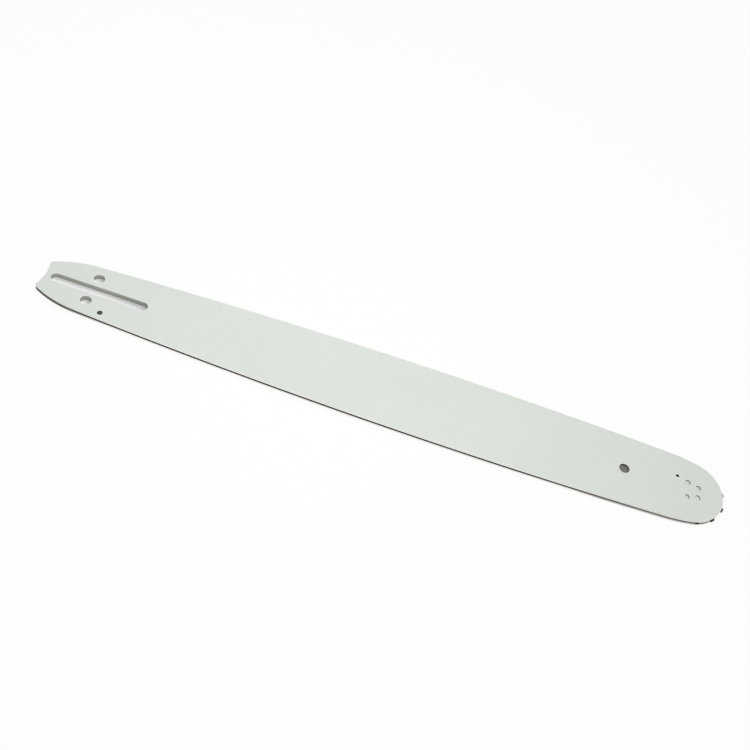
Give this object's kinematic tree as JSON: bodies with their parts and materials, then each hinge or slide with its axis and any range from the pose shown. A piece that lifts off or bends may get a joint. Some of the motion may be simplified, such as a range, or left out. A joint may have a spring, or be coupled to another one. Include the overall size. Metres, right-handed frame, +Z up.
{
  "type": "chainsaw guide bar",
  "caption": "Flat laminated guide bar with a grooved edge for the saw chain, a slotted tail that clamps to the saw and a free-turning sprocket on rollers in the nose.",
  "frame": {"origin": "on the surface that the bar lies on, under the middle of its length and width", "axes": "+X along the bar from the tail to the nose, +Z up out of the flat side, +Y across the bar"},
  "size_m": [0.5304, 0.0654, 0.0045],
  "materials": {
    "plate_paint": "satin pale grey paint",
    "core_steel": "dark rolled steel",
    "bearing_steel": "ground hardened steel",
    "rivet_steel": "pressed below the face, painted over thinly",
    "sprocket_steel": "dark heat-treated steel"
  },
  "bodies": {
    "bar": {"side_plate_upper": "plate_paint", "side_plate_lower": "plate_paint", "core_plate": "core_steel", "nose_hub": "bearing_steel", "nose_rivets": "rivet_steel"},
    "sprocket": {"nose_sprocket": "sprocket_steel"},
    "roller_ring": {"nose_roller_01": "bearing_steel", "nose_roller_02": "bearing_steel", "nose_roller_03": "bearing_steel", "nose_roller_04": "bearing_steel", "nose_roller_05": "bearing_steel", "nose_roller_06": "bearing_steel", "nose_roller_07": "bearing_steel", "nose_roller_08": "bearing_steel", "nose_roller_09": "bearing_steel", "nose_roller_10": "bearing_steel", "nose_roller_11": "bearing_steel", "nose_roller_12": "bearing_steel", "nose_roller_13": "bearing_steel", "nose_roller_14": "bearing_steel", "nose_roller_15": "bearing_steel", "nose_roller_16": "bearing_steel", "nose_roller_17": "bearing_steel", "nose_roller_18": "bearing_steel"}
  },
  "joints": [
    {"name": "sprocket_spin", "type": "hinge", "parent": "bar", "child": "sprocket", "pos_m": [0.2399, 0, 0.00225], "axis": [0, 0, 1], "continuous": true},
    {"name": "roller_travel", "type": "hinge", "parent": "bar", "child": "roller_ring", "pos_m": [0.2399, 0, 0.00225], "axis": [0, 0, 1], "continuous": true}
  ],
  "couplings": [
    {"joint": "roller_travel", "follows": "sprocket_spin", "ratio": 0.58303}
  ]
}
